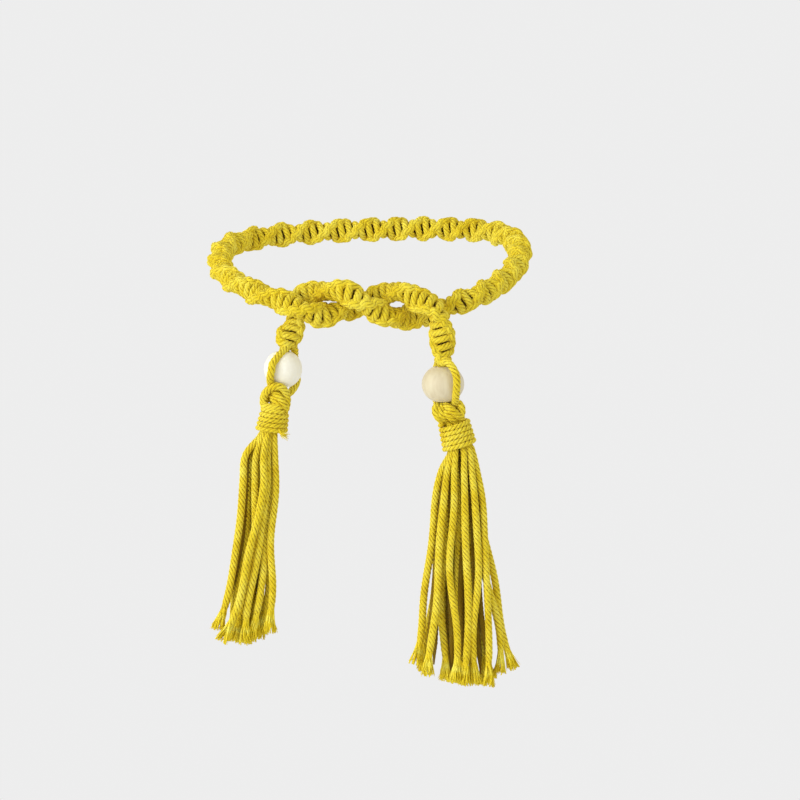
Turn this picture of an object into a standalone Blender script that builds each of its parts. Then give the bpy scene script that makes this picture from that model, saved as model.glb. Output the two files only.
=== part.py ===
# Curtain tieback: one long spiral knotted cord band that rings a gathered curtain, winds round itself
# at the front and ends in two hanging tails, each with a wooden bead, a square knot, a wound collar
# and a tassel. Origin: middle of the loop's inner back. Front faces -Y, +Z is up. Units are metres.

import math
from collections import namedtuple

import bpy
import bmesh
import numpy as np

MM = 0.001
GAP = 0.35  # clear space between neighbouring pieces

# Band: a spiral of half knots, wide and flat in section, turning steadily to the left
BAR_PITCH = 4.36
BAR_SLANT = 0.10
BAND_END_TAPER = (0.72, 0.90)
SPLINE_STEPS = 24

# One row per corner of a quarter section: place across the width and through the thickness, first
# where a crossing cord stands proud and then in the groove between two of them
Corner = namedtuple("Corner", "bar_wide bar_thick groove_wide groove_thick")
EDGE = Corner(7.25, 0.0, 7.8, 0.0)
SHOULDER = Corner(6.0, 3.4, 6.3, 3.0)
FACE = Corner(2.5, 5.2, 2.5, 4.4)

# One row per bend of the band, from the left tail's bead over the front, round the right side, the
# back and the left side, and over the front again to the right tail's bead. half_turns counts from
# the row before that has a count; at such a row the wide face looks to the front.
Bend = namedtuple("Bend", "x y z half_turns")
BAND_BENDS = (
    Bend(-49.2, -108.4, -65.2, None),
    Bend(-48.9, -107.9, -63.0, None),
    Bend(-47.2, -106.0, -58.4, 0),
    Bend(-44.4, -101.4, -52.0, None),
    Bend(-42.8, -97.6, -44.1, None),
    Bend(-39.4, -96.6, -37.2, 1),
    Bend(-31.6, -101.0, -33.5, None),
    Bend(-20.9, -109.0, -32.3, None),
    Bend(-12.7, -115.5, -33.3, 1),
    Bend(-4.6, -117.0, -37.9, None),
    Bend(4.7, -114.0, -43.3, 1),
    Bend(12.2, -108.0, -46.5, None),
    Bend(20.4, -101.0, -47.8, 1),
    Bend(29.2, -97.5, -48.3, None),
    Bend(38.5, -96.5, -45.5, 1),
    Bend(45.5, -98.0, -41.9, None),
    Bend(54.0, -97.0, -38.6, 1),
    Bend(67.0, -88.0, -33.5, 1),
    Bend(77.3, -74.5, -27.8, 1),
    Bend(85.8, -59.0, -20.3, 1),
    Bend(89.4, -41.0, -12.0, 1),
    Bend(85.0, -19.0, -5.0, None),
    Bend(70.0, -2.0, -1.0, None),
    Bend(40.0, 6.5, 0.5, None),
    Bend(0.0, 8.3, 0.0, 7),
    Bend(-42.0, 6.5, -2.0, None),
    Bend(-72.0, -3.0, -5.0, None),
    Bend(-87.0, -20.0, -9.0, None),
    Bend(-91.1, -40.0, -15.6, None),
    Bend(-89.0, -58.0, -21.8, 8),
    Bend(-82.6, -75.0, -27.0, 1),
    Bend(-69.1, -94.0, -32.8, 1),
    Bend(-50.8, -110.0, -38.2, 1),
    Bend(-43.5, -114.5, -40.9, None),
    Bend(-35.9, -115.0, -43.8, None),
    Bend(-27.9, -112.0, -45.7, 1),
    Bend(-18.7, -105.0, -43.8, None),
    Bend(-10.4, -99.0, -41.6, 1),
    Bend(-2.3, -98.0, -38.2, None),
    Bend(4.7, -100.5, -36.0, 1),
    Bend(17.0, -107.6, -32.6, None),
    Bend(26.6, -113.8, -36.1, 1),
    Bend(34.2, -118.0, -39.4, None),
    Bend(38.6, -119.0, -43.8, None),
    Bend(40.6, -118.0, -50.2, None),
    Bend(41.8, -117.0, -58.6, 1),
    Bend(42.3, -116.2, -67.0, None),
    Bend(42.2, -115.8, -74.1, None),
)

# Loose three-ply cords beside the beads
PLIES = 3
PLY_RIDGE = 2.35
PLY_GROOVE = 1.95
PLY_TURN = 15.0
CORD_STEP = 1.9
CORE_RADIUS = 3.3
Point = namedtuple("Point", "x y z")

# One row per tail: bead centre and size, square knot and cord places
LEFT_BEAD = Point(-50.7, -109.0, -77.4)
RIGHT_BEAD = Point(42.4, -115.5, -85.6)
LEFT_BEAD_WIDTH = 22.3
RIGHT_BEAD_WIDTH = 24.7
LEFT_BEAD_HEIGHT = 20.2
RIGHT_BEAD_HEIGHT = 20.4
BEAD_BORE = 8.4
BEAD_CROWN = 0.93  # how far the rounded side runs in towards the bore, as a share of a full ball
BEAD_SIDES = 28
BEAD_STEPS = 9

LEFT_FRONT_CORD = (
    Point(-50.8, -112.0, -60.5),
    Point(-53.4, -115.4, -64.6),
    Point(-57.0, -119.3, -70.2),
    Point(-58.9, -121.0, -77.0),
    Point(-58.3, -118.3, -84.6),
    Point(-56.6, -113.0, -90.0),
    Point(-55.6, -110.6, -95.0),
)
LEFT_REAR_CORD = (
    Point(-46.2, -105.0, -60.5),
    Point(-43.4, -101.8, -65.5),
    Point(-42.4, -98.6, -71.0),
    Point(-42.4, -97.2, -77.6),
    Point(-43.2, -98.7, -85.6),
    Point(-47.6, -103.6, -91.4),
    Point(-52.8, -108.6, -95.5),
)
LEFT_CORE = (
    Point(-49.9, -108.6, -62.0),
    Point(-50.6, -109.0, -70.0),
    Point(-50.7, -109.0, -80.0),
    Point(-51.0, -109.1, -87.8),
    Point(-53.6, -110.0, -94.0),
)
RIGHT_FRONT_CORD = (
    Point(42.6, -118.5, -68.0),
    Point(46.4, -123.0, -71.4),
    Point(50.4, -127.7, -77.4),
    Point(51.6, -128.5, -85.4),
    Point(50.8, -126.8, -93.4),
    Point(48.8, -121.6, -99.2),
    Point(47.2, -117.6, -103.0),
)
RIGHT_REAR_CORD = (
    Point(41.4, -112.6, -68.5),
    Point(37.4, -108.2, -72.0),
    Point(33.8, -103.6, -78.2),
    Point(33.6, -102.9, -86.0),
    Point(34.8, -104.6, -94.4),
    Point(39.4, -109.6, -100.0),
    Point(45.4, -113.6, -103.0),
)
RIGHT_CORE = (
    Point(42.3, -115.7, -70.0),
    Point(42.4, -115.5, -80.0),
    Point(42.4, -115.5, -90.0),
    Point(42.8, -115.5, -96.4),
    Point(46.0, -115.3, -101.5),
)

# Square knot below each bead: ridged blocks of crossing cords, one row per height
KnotRow = namedtuple("KnotRow", "along wide thick")
LEFT_KNOT_TOP = Point(-54.0, -110.0, -88.0)
LEFT_KNOT_FOOT = Point(-55.0, -110.8, -98.9)
RIGHT_KNOT_TOP = Point(45.4, -115.4, -97.3)
RIGHT_KNOT_FOOT = Point(47.5, -115.1, -105.9)
KNOT_ROWS = (
    KnotRow(0.00, 3.4, 3.0),
    KnotRow(0.10, 6.2, 4.6),
    KnotRow(0.30, 8.0, 6.6),
    KnotRow(0.50, 7.5, 5.3),
    KnotRow(0.72, 8.4, 6.7),
    KnotRow(0.90, 7.4, 5.8),
    KnotRow(1.00, 6.0, 5.0),
)
LEFT_KNOT_SCALE = 1.0
RIGHT_KNOT_SCALE = 1.08
KNOT_SIDES = 12

# Wound collars: a thin cord laid in close turns round each tassel's neck
COLLAR_SIDES = 20
COLLAR_TURNS = 6
COLLAR_GROOVE = 0.65
COLLAR_WALL = 2.5
LEFT_COLLAR_TOP = Point(-55.1, -111.0, -99.6)
LEFT_COLLAR_FOOT = Point(-57.8, -111.0, -115.0)
LEFT_COLLAR_RADII = (8.5, 9.8)
RIGHT_COLLAR_TOP = Point(48.3, -115.0, -106.2)
RIGHT_COLLAR_FOOT = Point(52.4, -115.0, -123.2)
RIGHT_COLLAR_RADII = (9.6, 10.5)

# Tassel heads and strands. One row per strand: its place across at the head, a quarter, half and
# three quarters of the way down and at the tip, its rank in the bundle at the head and at the tip,
# from -1 at the front to 1 at the back, and the tip's height
Strand = namedtuple("Strand", "x0 x1 x2 x3 x4 head_rank tip_rank tip")
HEAD_SIDES = 12
HEAD_SINK = 0.4
HEAD_SHOULDER = 0.9
HEAD_BELL = 2.6  # how far the bell reaches below the collar
BELL_LIP = 0.5
BELL_WAIST = 1.4
BELL_INSET = 0.9
BELL_FOOT_INSET = 1.6
ROOT_DEPTH = 1.2
STRAND_RADIUS = 2.05
STRAND_ROOT_RADIUS = 1.5
STRAND_TIP_RADIUS = 2.2
STRAND_SIDES = 4
STRAND_STEP = 16.0
STRAND_LEVELS = 5
LEVEL_CLEARANCE = (3.35, 4.64, 4.64, 4.64, 4.64)  # least distance between strands at each level
HEAD_DEPTH = 0.57  # depth of the outer ranks at the head and at the tips, in foot radii
TIP_DEPTH = 0.84
ROOT_INSET = 3.6
SPREAD_ROUNDS = 500
SPREAD_PUSH = 0.25
SPREAD_ACROSS = 0.45
SPREAD_HOLD = (0.04, 0.01)
LEFT_STRANDS = (
    Strand(-69.0, -74.5, -78.0, -82.0, -91.0, -0.3, -0.5, -229.5),
    Strand(-66.0, -70.5, -74.5, -77.5, -81.0, 0.3, 0.4, -236.0),
    Strand(-64.5, -67.0, -69.0, -72.5, -78.5, -0.6, 0.1, -237.0),
    Strand(-61.0, -62.0, -68.0, -75.0, -86.5, -1.0, -1.2, -235.5),
    Strand(-58.0, -59.5, -65.0, -69.5, -72.5, -0.8, -0.8, -237.5),
    Strand(-56.5, -58.0, -61.0, -64.5, -67.0, 0.1, -0.6, -234.0),
    Strand(-55.0, -55.5, -57.0, -58.0, -57.0, -0.6, -0.6, -231.0),
    Strand(-57.5, -58.5, -59.5, -60.5, -62.0, 0.8, 0.3, -233.5),
    Strand(-66.0, -69.0, -72.5, -79.0, -84.5, 0.9, 1.0, -237.5),
    Strand(-63.5, -66.0, -69.5, -73.5, -75.5, 0.9, 1.1, -239.0),
    Strand(-61.0, -63.5, -66.0, -69.0, -70.5, 1.0, 1.1, -238.0),
    Strand(-58.5, -61.0, -63.5, -65.5, -65.0, 0.9, 1.0, -236.5),
    Strand(-62.0, -64.0, -65.5, -70.0, -76.0, 0.2, 0.5, -238.0),
)
RIGHT_STRANDS = (
    Strand(41.5, 37.5, 35.5, 30.5, 26.0, 0.35, -0.1, -250.0),
    Strand(43.5, 43.0, 39.5, 37.5, 35.0, -0.6, -0.8, -255.5),
    Strand(46.0, 45.0, 43.0, 42.0, 43.0, 0.3, -0.2, -259.0),
    Strand(48.5, 48.5, 47.0, 49.5, 49.5, -0.9, -0.9, -259.5),
    Strand(51.5, 51.5, 51.0, 53.0, 54.0, 0.2, 0.3, -262.0),
    Strand(54.0, 55.5, 56.0, 56.5, 56.5, -1.0, -0.8, -261.0),
    Strand(58.5, 61.5, 62.5, 60.5, 63.0, -0.9, -0.7, -261.0),
    Strand(62.5, 66.0, 68.0, 68.0, 69.5, -0.4, -0.7, -262.0),
    Strand(60.5, 64.0, 66.5, 73.5, 76.0, 0.3, 0.0, -255.5),
    Strand(58.5, 63.0, 69.5, 76.0, 84.0, 0.7, 0.4, -253.0),
    Strand(44.5, 41.0, 38.5, 35.5, 31.5, 0.9, 0.8, -255.0),
    Strand(48.0, 45.5, 44.5, 45.5, 46.5, 0.9, 0.9, -261.5),
    Strand(50.5, 50.0, 50.0, 50.0, 51.5, 1.0, 1.1, -262.5),
    Strand(54.0, 54.0, 54.0, 56.0, 60.5, 0.9, 0.9, -263.0),
    Strand(56.5, 58.5, 59.5, 64.0, 66.5, 1.0, 0.9, -263.5),
    Strand(53.0, 52.5, 57.0, 62.0, 72.5, 0.2, 0.5, -260.0),
)

YELLOW = (0.68, 0.52, 0.030, 1.0)
CREAM = (0.86, 0.84, 0.72, 1.0)
BEIGE = (0.74, 0.66, 0.46, 1.0)
COTTON_ROUGHNESS = 0.95
WOOD_ROUGHNESS = 0.5


def clear_scene():
    for item in list(bpy.data.objects):
        bpy.data.objects.remove(item, do_unlink=True)


def make_collection(name):
    collection = bpy.data.collections.new(name)
    bpy.context.scene.collection.children.link(collection)
    return collection


def make_material(name, colour, roughness):
    material = bpy.data.materials.new(name)
    material.use_nodes = True
    shader = material.node_tree.nodes["Principled BSDF"]
    shader.inputs["Base Color"].default_value = colour
    shader.inputs["Roughness"].default_value = roughness
    shader.inputs["Metallic"].default_value = 0.0
    return material


def smooth_route(corners, steps):
    """Points on a smooth curve through the corners, close together."""
    corners = np.array(corners, float)
    first = 2 * corners[0] - corners[1]
    last = 2 * corners[-1] - corners[-2]
    ends = np.vstack([first, corners, last])
    route = []
    for i in range(1, len(ends) - 2):
        a, b, c, d = ends[i - 1 : i + 3]
        for t in np.arange(steps) / steps:
            line = 2 * b + (c - a) * t + (2 * a - 5 * b + 4 * c - d) * t**2
            route.append((line + (3 * b - a - 3 * c + d) * t**3) / 2)
    route.append(corners[-1])
    return np.array(route)


def distances(route):
    steps = np.linalg.norm(np.diff(route, axis=0), axis=1)
    return np.concatenate([[0.0], np.cumsum(steps)])


def resample(route, count):
    """The same route at even spacing, with the distance of each point."""
    along = distances(route)
    even = np.linspace(0.0, along[-1], count)
    columns = [np.interp(even, along, route[:, axis]) for axis in range(3)]
    return np.array(columns).T, even


def unit(vector):
    return vector / np.linalg.norm(vector)


def tangents(route):
    slopes = np.gradient(route, axis=0)
    return slopes / np.linalg.norm(slopes, axis=1)[:, None]


def carried_sides(route):
    """A side direction for each point, carried along the route without twist."""
    ahead = tangents(route)
    guess = np.array([0.0, -1.0, 0.0])
    if abs(ahead[0] @ guess) > 0.9:
        guess = np.array([1.0, 0.0, 0.0])
    sides = [unit(guess - ahead[0] * (ahead[0] @ guess))]
    for tangent in ahead[1:]:
        side = sides[-1] - tangent * (tangent @ sides[-1])
        sides.append(unit(side))
    return np.array(sides), ahead


def front_angle(side, ahead):
    """How far the view direction stands from the carried side, about the route."""
    front = np.array([0.0, -1.0, 0.0])
    front = unit(front - ahead * (ahead @ front))
    return math.atan2(np.cross(side, front) @ ahead, side @ front)


def near_zero(angle):
    return (angle + math.pi) % (2 * math.pi) - math.pi


def band_twist(route, sides, ahead):
    """The section's angle at each point, turning to the left between the marked bends."""
    along = distances(route)
    marked = [row for row, bend in enumerate(BAND_BENDS) if bend.half_turns is not None]
    places = [along[row * SPLINE_STEPS] for row in marked]
    fronts = [front_angle(sides[row * SPLINE_STEPS], ahead[row * SPLINE_STEPS]) for row in marked]
    angles = [fronts[0]]
    for before, after, row in zip(fronts, fronts[1:], marked[1:]):
        drift = near_zero(after - before)
        angles.append(angles[-1] + drift - math.pi * BAND_BENDS[row].half_turns)
    slope = (angles[1] - angles[0]) / (places[1] - places[0])
    start = angles[0] - slope * places[0]
    slope = (angles[-1] - angles[-2]) / (places[-1] - places[-2])
    finish = angles[-1] + slope * (along[-1] - places[-1])
    return along, [0.0, *places, along[-1]], [start, *angles, finish]


def section(is_bar, scale):
    """The band's ten-cornered section: (across, through) for each corner."""
    if is_bar:
        edge = (EDGE.bar_wide, EDGE.bar_thick)
        shoulder = (SHOULDER.bar_wide, SHOULDER.bar_thick)
        face = (FACE.bar_wide, FACE.bar_thick)
    else:
        edge = (EDGE.groove_wide, EDGE.groove_thick)
        shoulder = (SHOULDER.groove_wide, SHOULDER.groove_thick)
        face = (FACE.groove_wide, FACE.groove_thick)
    half = [edge, shoulder, face, (-face[0], face[1]), (-shoulder[0], shoulder[1])]
    whole = half + [(-across, -through) for across, through in half]
    return [(across * scale, through * scale) for across, through in whole]


def end_scale(index, last):
    nearest = min(index, last - index)
    return BAND_END_TAPER[nearest] if nearest < len(BAND_END_TAPER) else 1.0


def band_rings():
    rough = smooth_route([(b.x, b.y, b.z) for b in BAND_BENDS], SPLINE_STEPS)
    sides, ahead = carried_sides(rough)
    along, places, angles = band_twist(rough, sides, ahead)
    last = 2 * round(along[-1] / BAR_PITCH)
    route, even = resample(rough, last + 1)
    ahead = tangents(route)
    rings = []
    for index, centre in enumerate(route):
        carried = np.array([np.interp(even[index], along, sides[:, axis]) for axis in range(3)])
        carried = unit(carried - ahead[index] * (carried @ ahead[index]))
        other = np.cross(ahead[index], carried)
        angle = np.interp(even[index], places, angles)
        through = carried * math.cos(angle) + other * math.sin(angle)
        across = np.cross(through, ahead[index])
        ring = []
        for wide, thick in section(index % 2 == 0, end_scale(index, last)):
            slant = BAR_SLANT * wide * (1 if thick > 0 else -1 if thick < 0 else 0)
            ring.append(centre + across * wide + through * thick + ahead[index] * slant)
        rings.append(ring)
    return rings


def cord_rings(corners, flat=False):
    """Rings of a loose cord: its plies show as ridges that wind round it."""
    rough = smooth_route(corners, SPLINE_STEPS)
    count = max(4, round(distances(rough)[-1] / CORD_STEP))
    route, even = resample(rough, count + 1)
    sides, ahead = carried_sides(route)
    rings = []
    for centre, side, tangent, place in zip(route, sides, ahead, even):
        other = np.cross(tangent, side)
        turn = 0.0 if flat else 2 * math.pi * place / PLY_TURN
        ring = []
        for corner in range(2 * PLIES):
            angle = turn + math.pi * corner / PLIES
            radius = PLY_RIDGE if corner % 2 == 0 else PLY_GROOVE
            if flat:
                radius = CORE_RADIUS
            spoke = side * math.cos(angle) + other * math.sin(angle)
            ring.append(centre + spoke * radius)
        rings.append(ring)
    return rings


def knot_rings(top, foot, scale):
    top = np.array(top)
    foot = np.array(foot)
    down = unit(foot - top)
    through = unit(np.array([0.0, -1.0, 0.0]) + down * down[1])
    across = np.cross(down, through)
    rings = []
    for row in KNOT_ROWS:
        centre = top + (foot - top) * row.along
        ring = []
        for corner in range(KNOT_SIDES):
            angle = 2 * math.pi * (corner + 0.5) / KNOT_SIDES
            wide = across * math.cos(angle) * row.wide * scale
            thick = through * math.sin(angle) * row.thick * scale
            ring.append(centre + wide + thick)
        rings.append(ring)
    return rings


def mesh_object(name, points, faces, collection, material, smooth=True):
    mesh = bpy.data.meshes.new(name)
    mesh.from_pydata([tuple(np.array(p) * MM) for p in points], [], faces)
    mesh.materials.append(material)
    item = bpy.data.objects.new(name, mesh)
    collection.objects.link(item)
    work = bmesh.new()
    work.from_mesh(mesh)
    bmesh.ops.recalc_face_normals(work, faces=work.faces)
    bmesh.ops.triangulate(work, faces=work.faces)
    work.to_mesh(mesh)
    work.free()
    for polygon in mesh.polygons:
        polygon.use_smooth = smooth
    return item


def loft(name, rings, collection, material, smooth=True):
    """A closed skin over rings of equal count, with a flat cap at each end."""
    sides = len(rings[0])
    points = [point for ring in rings for point in ring]
    faces = []
    for row in range(len(rings) - 1):
        for corner in range(sides):
            after = (corner + 1) % sides
            low = row * sides
            high = low + sides
            faces.append((low + corner, low + after, high + after, high + corner))
    faces.append(tuple(range(sides)))
    top = (len(rings) - 1) * sides
    faces.append(tuple(top + corner for corner in reversed(range(sides))))
    return mesh_object(name, points, faces, collection, material, smooth)


def join_into(item, tool):
    """Fuses tool into item and removes the tool."""
    fuse = item.modifiers.new("Fuse", "BOOLEAN")
    fuse.operation = "UNION"
    fuse.solver = "EXACT"
    fuse.object = tool
    bpy.context.view_layer.update()
    shape = bpy.data.meshes.new_from_object(item.evaluated_get(bpy.context.evaluated_depsgraph_get()))
    item.modifiers.remove(fuse)
    item.data = shape
    bpy.data.objects.remove(tool, do_unlink=True)


def turned_ring(name, profile, sides, base, axis, collection, material):
    """Turns a closed (radius, height) profile about an axis through base."""
    axis = unit(np.array(axis))
    side = unit(np.array([1.0, 0.0, 0.0]) - axis * axis[0])
    other = np.cross(axis, side)
    points = []
    for corner in range(sides):
        angle = 2 * math.pi * corner / sides
        spoke = side * math.cos(angle) + other * math.sin(angle)
        points += [np.array(base) + spoke * radius + axis * height for radius, height in profile]
    faces = []
    rows = len(profile)
    for corner in range(sides):
        here = corner * rows
        there = (corner + 1) % sides * rows
        for row in range(rows):
            after = (row + 1) % rows
            faces.append((here + row, there + row, there + after, here + after))
    return mesh_object(name, points, faces, collection, material)


def make_bead(name, centre, width, height, collection, material):
    """A barrel bead, its flat ends a little wider than the bore."""
    radius = width / 2
    half = height / 2
    limit = math.asin(min(1.0, half / radius)) * BEAD_CROWN
    profile = []
    for step in range(BEAD_STEPS):
        angle = limit * (2 * step / (BEAD_STEPS - 1) - 1)
        profile.append((radius * math.cos(angle), half * math.sin(angle) / math.sin(limit)))
    profile.append((BEAD_BORE / 2, half))
    profile.append((BEAD_BORE / 2, -half))
    return turned_ring(name, profile, BEAD_SIDES, centre, (0, 0, 1), collection, material)


def make_collar(name, top, foot, radii, collection, material):
    top = np.array(top)
    foot = np.array(foot)
    length = np.linalg.norm(top - foot)
    steps = 2 * COLLAR_TURNS
    profile = []
    for step in range(steps + 1):
        share = step / steps
        radius = radii[1] + (radii[0] - radii[1]) * share
        profile.append((radius - (COLLAR_GROOVE if step % 2 == 0 else 0.0), length * share))
    profile.append((radii[0] - COLLAR_WALL, length))
    profile.append((radii[1] - COLLAR_WALL, 0.0))
    return turned_ring(name, profile, COLLAR_SIDES, foot, top - foot, collection, material)


def make_head(name, top, foot, radii, collection, material):
    """The strands' bundled neck inside the collar, and its bell below."""
    top = np.array(top)
    foot = np.array(foot)
    down = unit(foot - top)
    length = np.linalg.norm(foot - top)
    side = unit(np.array([1.0, 0.0, 0.0]) - down * down[0])
    other = np.cross(down, side)
    inner_top = radii[0] - COLLAR_WALL - GAP
    inner_foot = radii[1] - COLLAR_WALL - GAP
    rows = (
        (HEAD_SINK, inner_top * HEAD_SHOULDER),
        (length, inner_foot),
        (length + BELL_LIP, inner_foot),
        (length + BELL_WAIST, radii[1] - BELL_INSET),
        (length + HEAD_BELL, radii[1] - BELL_FOOT_INSET),
    )
    rings = []
    for place, radius in rows:
        ring = []
        for corner in range(HEAD_SIDES):
            angle = 2 * math.pi * corner / HEAD_SIDES
            spoke = side * math.cos(angle) + other * math.sin(angle)
            ring.append(top + down * place + spoke * radius)
        rings.append(ring)
    return loft(name, rings, collection, material)


def wanted_places(strands, foot, radius):
    """Each strand's (x, y) at every level, from its row alone."""
    rows = np.array(strands)
    share = np.linspace(0.0, 1.0, STRAND_LEVELS)
    head_rank = rows[:, STRAND_LEVELS, None]
    tip_rank = rows[:, STRAND_LEVELS + 1, None]
    rank = head_rank * (1 - share) + tip_rank * share
    reach = radius * (HEAD_DEPTH * (1 - share) + TIP_DEPTH * share)
    return np.stack([rows[:, :STRAND_LEVELS], foot.y + rank * reach], axis=-1)


def spread_places(strands, foot, radius):
    """The strands' places once crowded ones have pushed one another apart at every level."""
    wanted = wanted_places(strands, foot, radius)
    places = wanted.copy()
    centre = np.array([foot.x, foot.y])
    for _ in range(SPREAD_ROUNDS):
        apart = places[:, None] - places[None]
        distance = np.maximum(np.linalg.norm(apart, axis=-1), 1e-6)
        overlap = np.clip(np.array(LEVEL_CLEARANCE) - distance, 0.0, None)
        push = apart / distance[..., None] * overlap[..., None] * SPREAD_PUSH
        places += push.sum(axis=1) * np.array([SPREAD_ACROSS, 1.0])
        places += (wanted - places) * np.array(SPREAD_HOLD)
        offset = places[:, 0] - centre
        length = np.maximum(np.linalg.norm(offset, axis=1, keepdims=True), 1e-6)
        places[:, 0] = centre + offset * np.minimum(1.0, (radius - ROOT_INSET) / length)
    return places


def strand_route(places, tip, top, foot):
    """The strand's bends, its root set in the bell's own slanted end."""
    foot = np.array(foot)
    down = unit(foot - np.array(top))
    root = np.array([places[0][0], places[0][1], foot[2]])
    root[2] -= ((root - foot) @ down - ROOT_DEPTH) / down[2]
    heights = np.linspace(root[2], tip, STRAND_LEVELS)
    return [(x, y, height) for (x, y), height in zip(places, heights)]


def strand_rings(route):
    rough = smooth_route(route, SPLINE_STEPS)
    route, even = resample(rough, round(distances(rough)[-1] / STRAND_STEP) + 1)
    sides, ahead = carried_sides(route)
    last = len(route) - 1
    rings = []
    for index, (centre, side, tangent) in enumerate(zip(route, sides, ahead)):
        other = np.cross(tangent, side)
        radius = STRAND_RADIUS
        if index == 0:
            radius = STRAND_ROOT_RADIUS
        if index == last:
            radius = STRAND_TIP_RADIUS
        ring = []
        for corner in range(STRAND_SIDES):
            angle = 2 * math.pi * (corner + 0.5) / STRAND_SIDES
            spoke = side * math.cos(angle) + other * math.sin(angle)
            ring.append(centre + spoke * radius)
        rings.append(ring)
    return rings


def make_tassel(name, strands, top, foot, radii, collection, material):
    tassel = make_head(name, top, foot, radii, collection, material)
    spread = spread_places(strands, foot, radii[1])
    for number, (strand, places) in enumerate(zip(strands, spread)):
        route = strand_route(places, strand.tip, top, foot)
        join_into(tassel, loft(f"lock_{number}", strand_rings(route), collection, material))
    return tassel


def make_band(collection, material):
    """The spiral band with the cords that run on past each bead into its square knot."""
    band = loft("band", band_rings(), collection, material)
    tails = (
        (LEFT_CORE, LEFT_FRONT_CORD, LEFT_REAR_CORD, LEFT_KNOT_TOP, LEFT_KNOT_FOOT, LEFT_KNOT_SCALE),
        (RIGHT_CORE, RIGHT_FRONT_CORD, RIGHT_REAR_CORD, RIGHT_KNOT_TOP, RIGHT_KNOT_FOOT, RIGHT_KNOT_SCALE),
    )
    for core, front, rear, top, foot, scale in tails:
        join_into(band, loft("knot", knot_rings(top, foot, scale), collection, material))
        join_into(band, loft("core", cord_rings(core, flat=True), collection, material))
        join_into(band, loft("front_cord", cord_rings(front), collection, material))
        join_into(band, loft("rear_cord", cord_rings(rear), collection, material))
    return band


def build():
    clear_scene()
    collection = make_collection("curtain_tieback")
    cotton = make_material("yellow_cotton", YELLOW, COTTON_ROUGHNESS)
    cream = make_material("cream_wood", CREAM, WOOD_ROUGHNESS)
    beige = make_material("beige_wood", BEIGE, WOOD_ROUGHNESS)
    make_band(collection, cotton)
    make_bead("bead_left", LEFT_BEAD, LEFT_BEAD_WIDTH, LEFT_BEAD_HEIGHT, collection, cream)
    make_bead("bead_right", RIGHT_BEAD, RIGHT_BEAD_WIDTH, RIGHT_BEAD_HEIGHT, collection, beige)
    make_collar("collar_left", LEFT_COLLAR_TOP, LEFT_COLLAR_FOOT, LEFT_COLLAR_RADII, collection, cotton)
    make_collar("collar_right", RIGHT_COLLAR_TOP, RIGHT_COLLAR_FOOT, RIGHT_COLLAR_RADII, collection, cotton)
    left = (LEFT_COLLAR_TOP, LEFT_COLLAR_FOOT, LEFT_COLLAR_RADII)
    right = (RIGHT_COLLAR_TOP, RIGHT_COLLAR_FOOT, RIGHT_COLLAR_RADII)
    make_tassel("tassel_left", LEFT_STRANDS, *left, collection, cotton)
    make_tassel("tassel_right", RIGHT_STRANDS, *right, collection, cotton)


build()
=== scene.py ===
import math
import random

import bpy
import numpy as np
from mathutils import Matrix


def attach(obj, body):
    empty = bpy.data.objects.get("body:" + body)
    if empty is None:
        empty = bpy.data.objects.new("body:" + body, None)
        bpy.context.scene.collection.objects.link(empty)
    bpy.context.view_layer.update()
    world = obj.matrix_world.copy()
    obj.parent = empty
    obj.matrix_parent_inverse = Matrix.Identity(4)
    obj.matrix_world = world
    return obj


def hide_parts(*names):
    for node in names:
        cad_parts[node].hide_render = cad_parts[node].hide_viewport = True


# A knotted cotton curtain tieback with two wooden beads and two tassels.
# Lengths are in millimetres until a mesh is made.
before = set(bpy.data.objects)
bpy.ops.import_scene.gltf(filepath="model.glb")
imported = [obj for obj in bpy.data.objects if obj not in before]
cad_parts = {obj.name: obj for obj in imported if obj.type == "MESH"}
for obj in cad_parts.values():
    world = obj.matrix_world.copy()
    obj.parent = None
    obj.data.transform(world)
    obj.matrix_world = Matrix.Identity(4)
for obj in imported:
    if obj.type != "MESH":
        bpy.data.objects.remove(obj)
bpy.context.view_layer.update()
millimetre = 0.001
tiny = 1e-6  # less than this counts as nothing
random.seed(11)
dice = np.random.default_rng(11)


# routes and frames along them
def smoothRoute(corners, steps=24):
    corners = np.array(corners, float)
    ends = np.vstack([2 * corners[0] - corners[1], corners, 2 * corners[-1] - corners[-2]])
    a, b, c, d = (ends[i : len(ends) - 3 + i, None, :] for i in range(4))
    t = (np.arange(steps) / steps)[None, :, None]
    curve = 2 * b + (c - a) * t + (2 * a - 5 * b + 4 * c - d) * t**2 + (3 * b - a - 3 * c + d) * t**3
    return np.vstack([(curve / 2).reshape(-1, corners.shape[1]), corners[-1:]])


def distances(route):
    return np.concatenate([[0.0], np.cumsum(np.linalg.norm(np.diff(route, axis=0), axis=1))])


def readAt(places, along, values):
    return np.column_stack([np.interp(places, along, values[:, axis]) for axis in range(values.shape[1])])


def resample(route, spacing):
    along = distances(route)
    even = np.linspace(0.0, along[-1], max(4, round(along[-1] / spacing) + 1))
    return readAt(even, along, route), even


def unit(vectors):
    vectors = np.asarray(vectors, float)
    return vectors / np.linalg.norm(vectors, axis=-1, keepdims=True)


def carriedFrame(route):
    # side directions that follow the route without twisting round it, from any that isn't along it
    ahead = unit(np.gradient(route, axis=0))
    guess = np.array([0.0, -1.0, 0.0]) if abs(ahead[0][1]) < 0.9 else np.array([1.0, 0.0, 0.0])
    side = [unit(guess - ahead[0] * (ahead[0] @ guess))]
    for tangent in ahead[1:]:
        side.append(unit(side[-1] - tangent * (tangent @ side[-1])))
    side = np.array(side)
    return side, np.cross(ahead, side), ahead


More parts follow.
